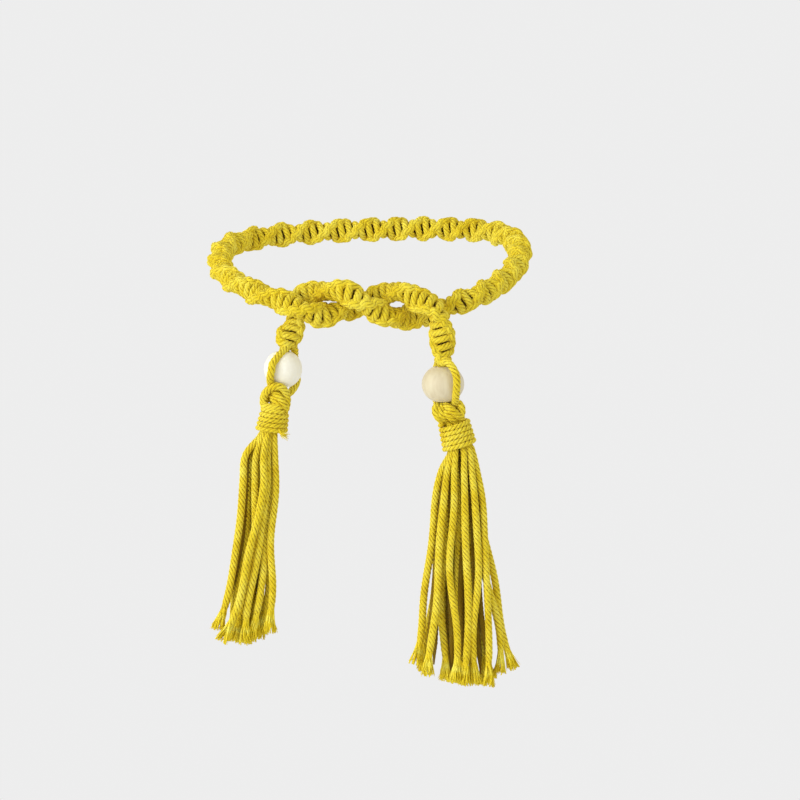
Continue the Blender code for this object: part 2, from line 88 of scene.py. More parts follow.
# a lay has its plies, the faces round each ply, the ply's radius as a share of the rope's, and the
# length of one turn
fivePly = {"plies": 5, "corners": 4, "plyRadius": 0.50, "turn": 14.0}
packedPly = {"plies": 5, "corners": 3, "plyRadius": 0.56, "turn": 13.5}
thinPly = {"plies": 3, "corners": 4, "plyRadius": 0.62, "turn": 8.0}
plainCord = {"sides": 10, "spacing": 2.0, "uvLength": 2.5}
fibre = {"sides": 3, "awry": (0.31, -0.85, 0.43), "uvStep": 0.1}  # awry is a way that no fibre runs


# a skin is points, faces and the UV of each face corner
def tubeFaces(rings, sides):
    row, corner = np.meshgrid(np.arange(rings - 1), np.arange(sides), indexing="ij")
    after = (corner + 1) % sides
    low = row * sides
    quads = np.stack([low + corner, low + after, low + sides + after, low + sides + corner], axis=-1)
    return quads.reshape(-1, 4), row.reshape(-1), corner.reshape(-1)


def tubeSkin(rings, uAround, along):
    count, sides = rings.shape[:2]
    quads, row, corner = tubeFaces(count, sides)
    uvs = np.empty((len(quads), 4, 2))
    uvs[:, (0, 3), 0] = (corner * uAround)[:, None]
    uvs[:, (1, 2), 0] = ((corner + 1) * uAround)[:, None]
    uvs[:, (0, 1), 1] = along[row][:, None]
    uvs[:, (2, 3), 1] = along[row + 1][:, None]
    faces = quads.tolist()
    faces.append(list(range(sides))[::-1])
    faces.append([(count - 1) * sides + i for i in range(sides)])
    flat = np.vstack([uvs.reshape(-1, 2), np.full((2 * sides, 2), 0.5)])
    return rings.reshape(-1, 3), faces, flat


def ropeSkin(corners, radius, lay, spacing, swell=None, phase=0.0, steps=24):
    # plies laid to the left; swell gives the thickness at each share of the length
    route, along = resample(smoothRoute(corners, steps), spacing)
    side, other, _ = carriedFrame(route)
    sides = lay["plies"] * lay["corners"]
    corner = np.arange(sides)
    inPly = ((corner / lay["corners"]) % 1 - 0.5) * 2 * math.pi / lay["plies"]
    offset = 1 - lay["plyRadius"]
    outline = offset * np.cos(inPly) + np.sqrt(lay["plyRadius"] ** 2 - (offset * np.sin(inPly)) ** 2)
    angle = 2 * math.pi * corner / sides + phase - 2 * math.pi * along[:, None] / lay["turn"]
    reach = radius * outline[None, :] * np.ones((len(along), 1))
    if swell is not None:
        reach = reach * np.interp(along / along[-1], *zip(*swell))[:, None]
    spoke = np.cos(angle)[..., None] * side[:, None] + np.sin(angle)[..., None] * other[:, None]
    rings = route[:, None] + spoke * reach[..., None]
    return tubeSkin(rings, 1 / lay["corners"], along / lay["turn"] * lay["plies"])


def plainSkin(corners, radius):
    route, along = resample(smoothRoute(corners), plainCord["spacing"])
    side, other, _ = carriedFrame(route)
    angle = 2 * math.pi * np.arange(plainCord["sides"]) / plainCord["sides"]
    spoke = np.cos(angle)[None, :, None] * side[:, None] + np.sin(angle)[None, :, None] * other[:, None]
    return tubeSkin(route[:, None] + spoke * radius, 1.0, along / plainCord["uvLength"])


def fibreSkin(routes, thick, thin):
    # many thin fibres at once; routes is fibres x points x 3
    fibres, count = routes.shape[:2]
    sides = fibre["sides"]
    ahead = unit(np.gradient(routes, axis=1))
    side = unit(np.cross(ahead, np.array(fibre["awry"])))
    other = np.cross(ahead, side)
    angle = 2 * math.pi * np.arange(sides) / sides
    spoke = np.cos(angle)[:, None] * side[:, :, None] + np.sin(angle)[:, None] * other[:, :, None]
    radius = np.linspace(thick, thin, count)[None, :, None, None]
    points = (routes[:, :, None] + spoke * radius).reshape(-1, 3)
    quads, row, _ = tubeFaces(count, sides)
    block = count * sides
    first = (np.arange(fibres) * block)[:, None, None]
    walls = (quads[None] + first).reshape(-1, 4)
    caps = np.vstack([np.arange(sides)[::-1], np.arange(block - sides, block)])
    ends = (caps[None] + first).reshape(-1, sides)
    uvs = np.full((len(walls) * 4 + len(ends) * sides, 2), 0.5)
    uvs[: len(walls) * 4, 1] = np.tile(np.repeat(row * fibre["uvStep"], 4), fibres)
    return points, walls.tolist() + ends.tolist(), uvs


def addPiece(name, skins, material, nodes):
    start = 0
    points = []
    faces = []
    uvs = []
    for skinPoints, skinFaces, skinUvs in skins:
        points.append(skinPoints)
        faces += [[corner + start for corner in face] for face in skinFaces]
        uvs.append(skinUvs)
        start += len(skinPoints)
    mesh = bpy.data.meshes.new(name)
    mesh.from_pydata((np.vstack(points) * millimetre).tolist(), [], faces)
    layer = mesh.uv_layers.new(name="cordUV")
    layer.uv.foreach_set("vector", np.vstack(uvs).astype(np.float32).ravel())
    mesh.polygons.foreach_set("use_smooth", [True] * len(mesh.polygons))
    mesh.materials.append(material)
    piece = bpy.data.objects.new(name, mesh)
    bpy.context.scene.collection.objects.link(piece)
    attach(piece, "root")
    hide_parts(*nodes)
    print("made", name, sum(len(face) - 2 for face in faces), "triangles")


# cotton
cotton = {
    "crest": (0.94, 0.85, 0.12, 1.0),
    "middle": (0.84, 0.65, 0.017, 1.0),
    "shade": (0.62, 0.43, 0.006, 1.0),
    # the groove colour is painted shade in the grooves between plies
    "groove": (0.25, 0.125, 0.001, 1.0),
    "paintedShadeBrowning": (1.15, 1.3),  # powers that take green and blue down faster than red in a cord darkened by painted shade
    "roughness": 0.92,
    "sheen": 0.05,
    "sheenRoughness": 0.6,
    "specular": 0.15,
    "yarnSlant": 0.6,
    "yarnsInPly": 3.0,
    "streakWidth": 2.2,
    "streakLength": 0.9,
    # scale and detail of each noise, and roughness where it isn't a half
    "streakNoise": (2.6, 4.0, 0.6),
    "patchNoise": (85.0, 2.0),
    "bridgeNoise": (520.0, 2.0),
    "lintNoise": (2600.0, 2.0, 0.7),
    "grooveStart": 0.44,
    # the ends of each ramp, then its values there, which are 0 and 1 unless they are given
    "bridgeTones": (0.36, 0.62, 0.30, 1.0),
    "middleTones": (0.34, 0.50),
    "crestTones": (0.47, 0.66),
    "lintTones": (0.60, 0.80, 0.0, 0.25),
    "toneShares": (0.65, 0.35, 0.035),  # streaks, patches and yarns in the colour
    "bumpShares": (0.8, 0.16, 0.35),  # streaks, yarns and lint in the bump
    "bump": 0.55,
    "bumpDepth": 0.0004,
}


class Nodes:
    # short calls for building a node tree
    def __init__(self, name):
        self.material = bpy.data.materials.new(name)
        self.material.use_nodes = True
        self.tree = self.material.node_tree
        self.shader = self.tree.nodes["Principled BSDF"]

    def add(self, kind, **settings):
        node = self.tree.nodes.new(kind)
        for key, value in settings.items():
            setattr(node, key, value)
        return node

    def wire(self, source, target):
        self.tree.links.new(source, target)

    def math(self, operation, *values):
        node = self.add("ShaderNodeMath", operation=operation)
        for place, value in enumerate(values):
            if isinstance(value, (int, float)):
                node.inputs[place].default_value = value
            else:
                self.wire(value, node.inputs[place])
        return node.outputs[0]

    def weighted(self, values, shares):
        parts = [self.math("MULTIPLY", value, share) for value, share in zip(values, shares)]
        total = parts[0]
        for part in parts[1:]:
            total = self.math("ADD", total, part)
        return total

    def soft(self, value, low, high, toLow=0.0, toHigh=1.0):
        node = self.add("ShaderNodeMapRange", interpolation_type="SMOOTHSTEP")
        self.wire(value, node.inputs["Value"])
        for key, number in (("From Min", low), ("From Max", high), ("To Min", toLow), ("To Max", toHigh)):
            node.inputs[key].default_value = number
        return node.outputs["Result"]

    def blend(self, factor, first, second):
        node = self.add("ShaderNodeMix", data_type="RGBA")
        for place, value in ((0, factor), (6, first), (7, second)):  # sockets 6 and 7 take the colours
            if isinstance(value, (int, float, tuple)):
                node.inputs[place].default_value = value
            else:
                self.wire(value, node.inputs[place])
        return node.outputs[2]

    def noise(self, vector, scale, detail, roughness=0.5):
        node = self.add("ShaderNodeTexNoise")
        node.inputs["Scale"].default_value = scale
        node.inputs["Detail"].default_value = detail
        node.inputs["Roughness"].default_value = roughness
        self.wire(vector, node.inputs["Vector"])
        return node.outputs["Fac"]

    def bump(self, height, strength, depth):
        node = self.add("ShaderNodeBump")
        node.inputs["Strength"].default_value = strength
        node.inputs["Distance"].default_value = depth
        self.wire(height, node.inputs["Height"])
        self.wire(node.outputs["Normal"], self.shader.inputs["Normal"])


# the second argument sets how dark the painted shade in the ply grooves is
# the third argument scales every colour: below 1 it is painted shade, above 1 painted light
def makeCotton(name, paintedGrooveShade, paintedLightLevel=1.0):
    n = Nodes(name)
    n.shader.inputs["Roughness"].default_value = cotton["roughness"]
    n.shader.inputs["Sheen Weight"].default_value = cotton["sheen"]
    n.shader.inputs["Sheen Roughness"].default_value = cotton["sheenRoughness"]
    n.shader.inputs["Specular IOR Level"].default_value = cotton["specular"]
    uv = n.add("ShaderNodeUVMap", uv_map="cordUV")
    split = n.add("ShaderNodeSeparateXYZ")
    n.wire(uv.outputs["UV"], split.inputs["Vector"])
    u, v = split.outputs["X"], split.outputs["Y"]
    # 0 on a ply's crest, 1 in the groove beside it
    inGroove = n.math("MULTIPLY", n.math("ABSOLUTE", n.math("SUBTRACT", n.math("FRACT", u), 0.5)), 2.0)
    # yarns lie nearly straight along the cord, across its plies
    slanted = n.math("SUBTRACT", u, n.math("MULTIPLY", v, cotton["yarnSlant"]))
    lengthwise = n.math("MULTIPLY", slanted, 2 * math.pi)
    streakAt = n.add("ShaderNodeCombineXYZ")
    for axis, wave in (("X", "COSINE"), ("Y", "SINE")):
        n.wire(n.math("MULTIPLY", n.math(wave, lengthwise), cotton["streakWidth"]), streakAt.inputs[axis])
    n.wire(n.math("MULTIPLY", v, cotton["streakLength"]), streakAt.inputs["Z"])
    streak = n.noise(streakAt.outputs[0], *cotton["streakNoise"])
    yarn = n.math("SINE", n.math("MULTIPLY", lengthwise, cotton["yarnsInPly"]))
    place = n.add("ShaderNodeTexCoord").outputs["Object"]
    patch = n.noise(place, *cotton["patchNoise"])
    lint = n.noise(place, *cotton["lintNoise"])
    # the painted shade in the grooves is broken by loose yarns that bridge them
    bridged = n.soft(n.noise(place, *cotton["bridgeNoise"]), *cotton["bridgeTones"])
    groove = n.soft(inGroove, cotton["grooveStart"], 1.0, 0.0, paintedGrooveShade)
    groove = n.math("MULTIPLY", groove, bridged)
    tone = n.weighted((streak, patch, yarn), cotton["toneShares"])
    # a cord darkened by painted shade is browner too
    green, blue = cotton["paintedShadeBrowning"]
    paintedLightScale = (paintedLightLevel, paintedLightLevel**green, paintedLightLevel**blue, 1.0)
    shade, middle, crest = (tuple(np.multiply(paintedLightScale, cotton[key])) for key in ("shade", "middle", "crest"))
    base = n.blend(n.soft(tone, *cotton["middleTones"]), shade, middle)
    base = n.blend(n.soft(tone, *cotton["crestTones"]), base, crest)
    base = n.blend(n.soft(lint, *cotton["lintTones"]), base, crest)
    # painted shade: the ply grooves are darkened towards the groove colour
    n.wire(n.blend(groove, base, cotton["groove"]), n.shader.inputs["Base Color"])
    n.bump(n.weighted((streak, yarn, lint), cotton["bumpShares"]), cotton["bump"], cotton["bumpDepth"])
    return n.material


cottonCord = makeCotton("mustardCottonCord", paintedGrooveShade=0.88)
packedCord = makeCotton("packedCottonCord", paintedGrooveShade=0.7)
# painted light: the frayed tips are made lighter than the cord, against their own shadows
paintedLightYarn = makeCotton("paintedLightFrayedYarn", paintedGrooveShade=0.0, paintedLightLevel=1.06)
# painted shade: the tassels' inner strands are dark cotton, to read as shaded strands in the gaps
paintedShadeStrand = makeCotton("shadeDarkCottonStrand", paintedGrooveShade=0.9, paintedLightLevel=0.3)
# painted shade: the band's core cords are dark brown cotton, as they lie deep between the bars
paintedShadeCore = makeCotton("shadeDarkCottonCord", paintedGrooveShade=0.0, paintedLightLevel=0.14)
print("cotton ready")

# the band: two working cords half-knotted round two core cords, turning steadily to the left
band = {
    "knotPitch": 4.36,
    "cordRadius": 2.07,
    "cordSpacing": 0.85,
    "opened": (0.94, 1.17),  # least and most that a bar swells where the bars close up or open
    "probe": 0.5,  # how far before and after a place its opening is measured
    "wobble": (0.02, 0.09, 0.09),  # along (in knots), across, through the thickness
    "coreRadius": 2.1,
    "coreOffsets": (-1.7, 1.7),
    "coreStep": 3.0,
    "endScale": 0.78,  # width of the first knot beside a bead
    "endReach": 8.0,
    # one half knot of a working cord: along (in knots), across, through the thickness
    "halfKnot": [
        (-0.05, -5.3, -1.8),
        (0.24, -4.9, 0.2),
        (0.16, -2.9, 2.95),
        (0.02, 0.0, 3.55),
        (-0.12, 2.9, 2.95),
        (-0.14, 4.7, 0.4),
        (0.12, 5.75, -0.9),
        (0.50, 5.95, 0.3),
    ],
    # x, y, z and, where the wide face looks to the front, the half turns since the last such bend
    "bends": [
        (-49.2, -108.4, -65.2, None),
        (-48.9, -107.9, -63.0, None),
        (-47.2, -106.0, -58.4, 0),
        (-44.4, -101.4, -52.0, None),
        (-42.8, -97.6, -44.1, None),
        (-39.4, -96.6, -37.2, 1),
        (-31.6, -101.0, -33.5, None),
        (-20.9, -109.0, -32.3, None),
        (-12.7, -115.5, -33.3, 1),
        (-4.6, -117.0, -37.9, None),
        (4.7, -114.0, -43.3, 1),
        (12.2, -108.0, -46.5, None),
        (20.4, -101.0, -47.8, 1),
        (29.2, -97.5, -48.3, None),
        (38.5, -96.5, -45.5, 1),
        (45.5, -98.0, -41.9, None),
        (54.0, -97.0, -38.6, 1),
        (67.0, -88.0, -33.5, 1),
        (77.3, -74.5, -27.8, 1),
        (85.8, -59.0, -20.3, 1),
        (89.4, -41.0, -12.0, 1),
        (85.0, -19.0, -5.0, None),
        (70.0, -2.0, -1.0, None),
        (40.0, 6.5, 0.5, None),
        (0.0, 8.3, 0.0, 7),
        (-42.0, 6.5, -2.0, None),
        (-72.0, -3.0, -5.0, None),
        (-87.0, -20.0, -9.0, None),
        (-91.1, -40.0, -15.6, None),
        (-89.0, -58.0, -21.8, 8),
        (-82.6, -75.0, -27.0, 1),
        (-69.1, -94.0, -32.8, 1),
        (-50.8, -110.0, -38.2, 1),
        (-43.5, -114.5, -40.9, None),
        (-35.9, -115.0, -43.8, None),
        (-27.9, -112.0, -45.7, 1),
        (-18.7, -105.0, -43.8, None),
        (-10.4, -99.0, -41.6, 1),
        (-2.3, -98.0, -38.2, None),
        (4.7, -100.5, -36.0, 1),
        (17.0, -107.6, -32.6, None),
        (26.6, -113.8, -36.1, 1),
        (34.2, -118.0, -39.4, None),
        (38.6, -119.0, -43.8, None),
        (40.6, -118.0, -50.2, None),
        (41.8, -117.0, -58.6, 1),
        (42.3, -116.2, -67.0, None),
        (42.2, -115.8, -74.1, None),
    ],
}


def frontAngle(side, ahead):
    # the turn round the route from its side direction to the front
    front = np.array([0.0, -1.0, 0.0])
    front = unit(front - ahead * (ahead @ front))
    return math.atan2(np.cross(side, front) @ ahead, side @ front)


def nearZero(angle):
    return (angle + math.pi) % (2 * math.pi) - math.pi


def bandFrame():
    # the middle line with its across and through directions, every few tenths of a millimetre
    steps = 24
    line = smoothRoute([bend[:3] for bend in band["bends"]], steps)
    side, other, ahead = carriedFrame(line)
    along = distances(line)
    marked = [row for row, bend in enumerate(band["bends"]) if bend[3] is not None]
    places = [along[row * steps] for row in marked]
    fronts = [frontAngle(side[row * steps], ahead[row * steps]) for row in marked]
    angles = [fronts[0]]
    for before, after, row in zip(fronts, fronts[1:], marked[1:]):
        angles.append(angles[-1] + nearZero(after - before) - math.pi * band["bends"][row][3])
    slope = (angles[1] - angles[0]) / (places[1] - places[0])
    start = angles[0] - slope * places[0]
    slope = (angles[-1] - angles[-2]) / (places[-1] - places[-2])
    finish = angles[-1] + slope * (along[-1] - places[-1])
    angle = np.interp(along, [0.0, *places, along[-1]], [start, *angles, finish])[:, None]
    through = side * np.cos(angle) + other * np.sin(angle)
    return along, line, ahead, through


def placeOnBand(frameRows, along, across, through):
    reach, line, ahead, face = frameRows
    middle = readAt(along, reach, line)
    beyond = (along - np.clip(along, 0.0, reach[-1]))[:, None]
    forward = unit(readAt(along, reach, ahead))
    facing = readAt(along, reach, face)
    facing = unit(facing - forward * np.sum(facing * forward, axis=1, keepdims=True))
    wide = np.cross(facing, forward)
    fromEnd = np.minimum(along, reach[-1] - along)
    scale = np.interp(fromEnd, [0.0, band["endReach"]], [band["endScale"], 1.0])[:, None]
    return middle + forward * beyond + (wide * across[:, None] + facing * through[:, None]) * scale


def workingCord(frameRows, startSide):
    length = frameRows[0][-1]
    knots = round(length / band["knotPitch"])
    pitch = length / knots
    rows = []
    for knot in range(knots):
        sign = startSide * (-1) ** knot
        wobble = dice.normal(0.0, 1.0, 3) * band["wobble"]
        for along, across, through in band["halfKnot"]:
            place = (knot + 0.5 + along + wobble[0]) * pitch
            rows.append((place, sign * (across + wobble[1]), sign * (through + wobble[2])))
    path = smoothRoute(rows, steps=10)
    step = band["probe"]
    after = placeOnBand(frameRows, path[:, 0] + step, path[:, 1], path[:, 2])
    before = placeOnBand(frameRows, path[:, 0] - step, path[:, 1], path[:, 2])
    forward = unit(readAt(path[:, 0], frameRows[0], frameRows[2]))
    # a bar is fatter where the band's bend opens the bars, and thinner where it closes them up
    opened = np.sum((after - before) * forward, axis=1) / (2 * step)
    route = placeOnBand(frameRows, path[:, 0], path[:, 1], path[:, 2])
    return route, np.clip(opened, *band["opened"])


def coreCord(frameRows, offset):
    places = np.arange(0.0, frameRows[0][-1], band["coreStep"])
    return placeOnBand(frameRows, places, np.full(len(places), offset), np.zeros(len(places)))


bandRows = bandFrame()
for label, startSide in (("A", 1), ("B", -1)):
    route, opened = workingCord(bandRows, startSide)
    places = distances(route)
    swell = list(zip(places / places[-1], opened))
    skin = ropeSkin(route, band["cordRadius"], packedPly, band["cordSpacing"], swell, steps=1)
    addPiece("workingCord" + label, [skin], packedCord, ["band"])
# the core cords carry painted shade, showing dark in the gaps between bars
cores = [plainSkin(coreCord(bandRows, offset), band["coreRadius"]) for offset in band["coreOffsets"]]
addPiece("coreCords", cores, paintedShadeCore, ["band"])

# cords beside and through each bead, tied in a square knot under it
leftTail = {
    "cords": [
        [
            (-47.6, -110.0, -63.5),
            (-50.6, -113.6, -66.8),
            (-53.9, -117.9, -70.2),
            (-56.4, -120.8, -73.6),
            (-57.0, -121.8, -77.6),
            (-57.8, -119.8, -82.0),
            (-57.3, -115.3, -86.6),
            (-55.5, -115.5, -90.1),
            (-52.9, -117.0, -93.0),
            (-50.3, -116.5, -96.3),
            (-49.1, -113.0, -100.4),
        ],
        [
            (-60.3, -108.0, -89.2),
            (-57.9, -111.0, -91.5),
            (-55.8, -115.0, -94.7),
            (-53.8, -116.0, -98.1),
            (-52.8, -113.5, -101.4),
        ],
        [
            (-60.6, -112.0, -102.3),
            (-62.0, -113.0, -96.9),
            (-61.3, -115.0, -91.8),
            (-58.0, -118.2, -88.0),
            (-53.6, -119.2, -86.6),
            (-49.9, -117.7, -88.6),
            (-48.2, -115.0, -93.0),
            (-48.6, -113.5, -98.6),
            (-50.1, -112.0, -102.9),
        ],
        [
            (-52.1, -105.0, -92.4),
            (-57.4, -104.5, -94.2),
            (-61.9, -108.5, -96.2),
            (-61.1, -114.5, -98.4),
            (-56.9, -117.0, -99.2),
            (-52.9, -116.5, -99.3),
            (-51.3, -112.0, -102.9),
        ],
        [
            (-46.6, -107.0, -62.5),
            (-44.2, -101.5, -66.4),
            (-44.4, -96.8, -72.0),
            (-44.2, -95.4, -79.0),
            (-43.0, -97.0, -84.8),
            (-45.2, -101.0, -89.8),
            (-49.2, -104.0, -93.6),
            (-52.7, -106.0, -97.6),
            (-54.4, -108.0, -102.7),
        ],
    ],
    "cores": [
        [(-50.6, -109.0, -62.0), (-51.6, -109.0, -77.0), (-55.6, -110.4, -90.5), (-57.6, -110.6, -104.0)],
        [(-48.6, -108.6, -62.0), (-49.8, -109.0, -77.0), (-52.0, -110.4, -90.5), (-52.8, -110.6, -104.0)],
        [(-53.0, -107.4, -88.5), (-54.6, -107.0, -95.0), (-55.2, -108.0, -104.0)],
    ],
}
rightTail = {
    "cords": [
        [
            (41.2, -118.0, -69.7),
            (44.6, -123.0, -72.0),
            (47.7, -127.4, -75.1),
            (49.9, -129.4, -79.9),
            (50.2, -129.0, -85.1),
            (49.9, -126.2, -90.4),
            (49.6, -121.0, -94.5),
            (48.8, -115.5, -99.0),
            (47.7, -113.5, -103.3),
            (47.7, -113.0, -109.2),
        ],
        [
            (46.0, -108.0, -98.5),
            (41.9, -112.0, -97.2),
            (38.9, -117.0, -97.8),
            (38.0, -119.0, -101.0),
            (39.5, -118.5, -104.6),
            (43.0, -115.0, -107.9),
            (46.6, -113.0, -111.6),
        ],
        [
            (41.3, -110.0, -97.4),
            (43.3, -116.5, -97.6),
            (45.8, -120.8, -99.0),
            (48.7, -121.5, -101.3),
            (52.0, -119.0, -104.4),
            (54.1, -115.0, -107.3),
        ],
        [
            (41.0, -110.0, -99.6),
            (42.4, -116.0, -100.4),
            (44.4, -119.4, -102.2),
            (47.2, -119.6, -104.9),
            (50.4, -117.0, -107.9),
        ],
        [
            (44.8, -110.0, -97.6),
            (42.1, -116.5, -98.0),
            (41.2, -119.0, -100.9),
            (42.4, -118.5, -104.2),
            (45.4, -115.0, -106.9),
            (47.7, -112.0, -109.9),
        ],
        [
            (46.0, -108.0, -97.8),
            (48.9, -113.0, -97.0),
            (51.4, -117.0, -96.8),
            (53.1, -118.5, -99.2),
            (53.3, -118.0, -102.2),
            (52.3, -116.0, -105.4),
            (50.1, -113.0, -109.2),
        ],
        [
            (41.2, -112.0, -70.6),
            (39.8, -106.5, -73.5),
            (38.4, -102.6, -78.5),
            (36.6, -101.0, -84.5),
            (36.8, -102.2, -90.2),
            (38.4, -105.6, -95.2),
            (40.8, -108.0, -99.7),
            (44.3, -110.0, -103.6),
            (46.6, -112.0, -109.3),
        ],
    ],
    "cores": [
        [(41.0, -115.8, -70.0), (41.4, -115.5, -85.0), (43.2, -114.5, -98.0), (45.6, -115.2, -110.0)],
        [(43.2, -115.8, -70.0), (43.4, -115.5, -85.0), (47.4, -115.0, -98.0), (50.6, -115.2, -110.0)],
        [(44.6, -113.0, -96.6), (46.4, -111.0, -101.0), (48.0, -112.0, -110.0)],
        [(50.0, -112.0, -97.6), (51.2, -113.2, -102.0), (51.6, -113.0, -110.0)],
    ],
}
tailCord = {"radius": 2.3, "spacing": 0.8, "mostPhase": 6, "coreRadius": 2.0, "coreSpacing": 1.2}


def makeTail(label, tail):
    skins = []
    for cord in tail["cords"]:
        phase = random.uniform(0, tailCord["mostPhase"])
        skins.append(ropeSkin(cord, tailCord["radius"], fivePly, tailCord["spacing"], phase=phase))
    for core in tail["cores"]:
        skins.append(ropeSkin(core, tailCord["coreRadius"], fivePly, tailCord["coreSpacing"]))
    addPiece("tailCords" + label, skins, cottonCord, ["band"])


makeTail("Left", leftTail)
makeTail("Right", rightTail)

# wooden beads
leftBead = {
    "centre": (-50.7, -109.0, -77.4),
    "radius": 11.15,
    "height": 20.2,
    "stretch": 1.0,
    "bore": 4.2,
    "light": (0.95, 0.93, 0.80, 1.0),
    "dark": (0.86, 0.81, 0.63, 1.0),
    "grain": 0.45,
    "slot": "cream_wood",
}
rightBead = {
    "centre": (42.4, -115.5, -85.6),
    "radius": 12.35,
    "height": 20.4,
    "stretch": 0.91,
    "bore": 4.2,
    "light": (0.72, 0.645, 0.445, 1.0),
    "dark": (0.60, 0.50, 0.31, 1.0),
    "grain": 0.55,
    "slot": "beige_wood",
}
wood = {
    "roughness": 0.46,
    "specular": 0.4,
    "grainStretch": 0.09,
    "poreNoise": (2200.0, 3.0, 0.6),
    "bandNoise": (330.0, 3.0, 0.55),
    "cloudNoise": (90.0, 2.0),
    "toneShares": (0.6, 0.4),
    "bandTones": (0.38, 0.62),
    "poreTones": (0.62, 0.74),
    "poreDepth": 0.35,
    "bump": 0.18,
    "bumpDepth": 0.0002,
}


def makeWood(name, bead):
    n = Nodes(name)
    n.shader.inputs["Roughness"].default_value = wood["roughness"]
    n.shader.inputs["Specular IOR Level"].default_value = wood["specular"]
    place = n.add("ShaderNodeTexCoord").outputs["Object"]
    centred = n.add("ShaderNodeMapping")
    centred.inputs["Location"].default_value = tuple(-c * millimetre for c in bead["centre"])
    n.wire(place, centred.inputs["Vector"])
    # the grain stands upright: fine pores, and wide pale and dark bands across
    upright = n.add("ShaderNodeMapping")
    upright.inputs["Scale"].default_value = (1.0, 1.0, wood["grainStretch"])
    n.wire(centred.outputs["Vector"], upright.inputs["Vector"])
    pores = n.noise(upright.outputs["Vector"], *wood["poreNoise"])
    bands = n.noise(upright.outputs["Vector"], *wood["bandNoise"])
    clouds = n.noise(centred.outputs["Vector"], *wood["cloudNoise"])
    tone = n.weighted((bands, clouds), wood["toneShares"])
    base = n.blend(n.soft(tone, *wood["bandTones"], bead["grain"], 0.0), bead["light"], bead["dark"])
    porous = n.soft(pores, *wood["poreTones"], 0.0, wood["poreDepth"] * bead["grain"])
    n.wire(n.blend(porous, base, bead["dark"]), n.shader.inputs["Base Color"])
    n.bump(n.math("ADD", pores, bands), wood["bump"], wood["bumpDepth"])
    return n.material


def selectBy(piece, test, kind="vertices"):
    bpy.ops.object.mode_set(mode="OBJECT")
    for item in (*piece.data.vertices, *piece.data.edges, *piece.data.polygons):
        item.select = False
    for item in getattr(piece.data, kind):
        item.select = test(item)
    bpy.ops.object.mode_set(mode="EDIT")


turning = {
    "segments": 64,
    "rings": 40,
    "flatNormal": 0.999,  # a flat end's face looks up or down at least this much
    "flatHeight": 0.98,  # and lies at least this far out, as a share of half the bead's height
    "rimBevel": 0.22,
    "rimSteps": 3,
    "smoothUnder": 40,
}


def onFlat(face, half):
    upright = abs(face.normal.z) > turning["flatNormal"]
    return upright and abs(face.center.z) > turning["flatHeight"] * half


def onRim(points, edge, half):
    # whether an edge runs round a flat end, at its outside or at the bore
    ends = [np.array(points[vertex].co) for vertex in edge.vertices]
    flatEnds = all(abs(abs(end[2]) - half) < tiny for end in ends)
    spans = [np.linalg.norm(end[:2]) for end in ends]
    return flatEnds and abs(spans[0] - spans[1]) < 10 * tiny


def makeBead(name, bead, node):
    bpy.ops.object.select_all(action="DESELECT")
    half = bead["height"] / 2 * millimetre
    bore = bead["bore"] * millimetre
    bpy.ops.mesh.primitive_uv_sphere_add(
        segments=turning["segments"], ring_count=turning["rings"], radius=bead["radius"] * millimetre
    )
    piece = bpy.context.object
    piece.name = name
    piece.data.name = name
    bpy.ops.object.mode_set(mode="EDIT")
    bpy.ops.transform.resize(value=(1.0, 1.0, bead["stretch"]))
    # both ends sawn flat
    for height, normal in ((half, (0, 0, 1)), (-half, (0, 0, -1))):
        bpy.ops.mesh.select_all(action="SELECT")
        bpy.ops.mesh.bisect(plane_co=(0, 0, height), plane_no=normal, clear_outer=True, use_fill=True)
    # the flat ends are narrowed to the bore, and the bore is opened between them
    bpy.ops.mesh.select_mode(type="FACE")
    selectBy(piece, lambda face: onFlat(face, half), "polygons")
    flat = next(face for face in piece.data.polygons if face.select)
    rim = np.linalg.norm(np.array(piece.data.vertices[flat.vertices[0]].co)[:2])
    bpy.ops.mesh.inset(thickness=rim - bore, depth=0.0)
    bpy.ops.mesh.bridge_edge_loops()
    bpy.ops.mesh.select_mode(type="EDGE")
    # the rims are rounded off
    bpy.ops.object.mode_set(mode="OBJECT")
    points = piece.data.vertices
    selectBy(piece, lambda edge: onRim(points, edge, half), "edges")
    bpy.ops.mesh.bevel(offset=turning["rimBevel"] * millimetre, segments=turning["rimSteps"], profile=0.5)
    bpy.ops.mesh.select_all(action="SELECT")
    bpy.ops.mesh.normals_make_consistent(inside=False)
    bpy.ops.transform.translate(value=tuple(c * millimetre for c in bead["centre"]))
    bpy.ops.object.mode_set(mode="OBJECT")
    bpy.ops.object.shade_smooth_by_angle(angle=math.radians(turning["smoothUnder"]))
    piece.data.materials.clear()
    piece.data.materials.append(makeWood(name + "Wood", bead))
    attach(piece, "root")
    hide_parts(node)
    print("made", name, len(piece.data.polygons), "faces")


makeBead("beadLeft", leftBead, "bead_left")
makeBead("beadRight", rightBead, "bead_right")

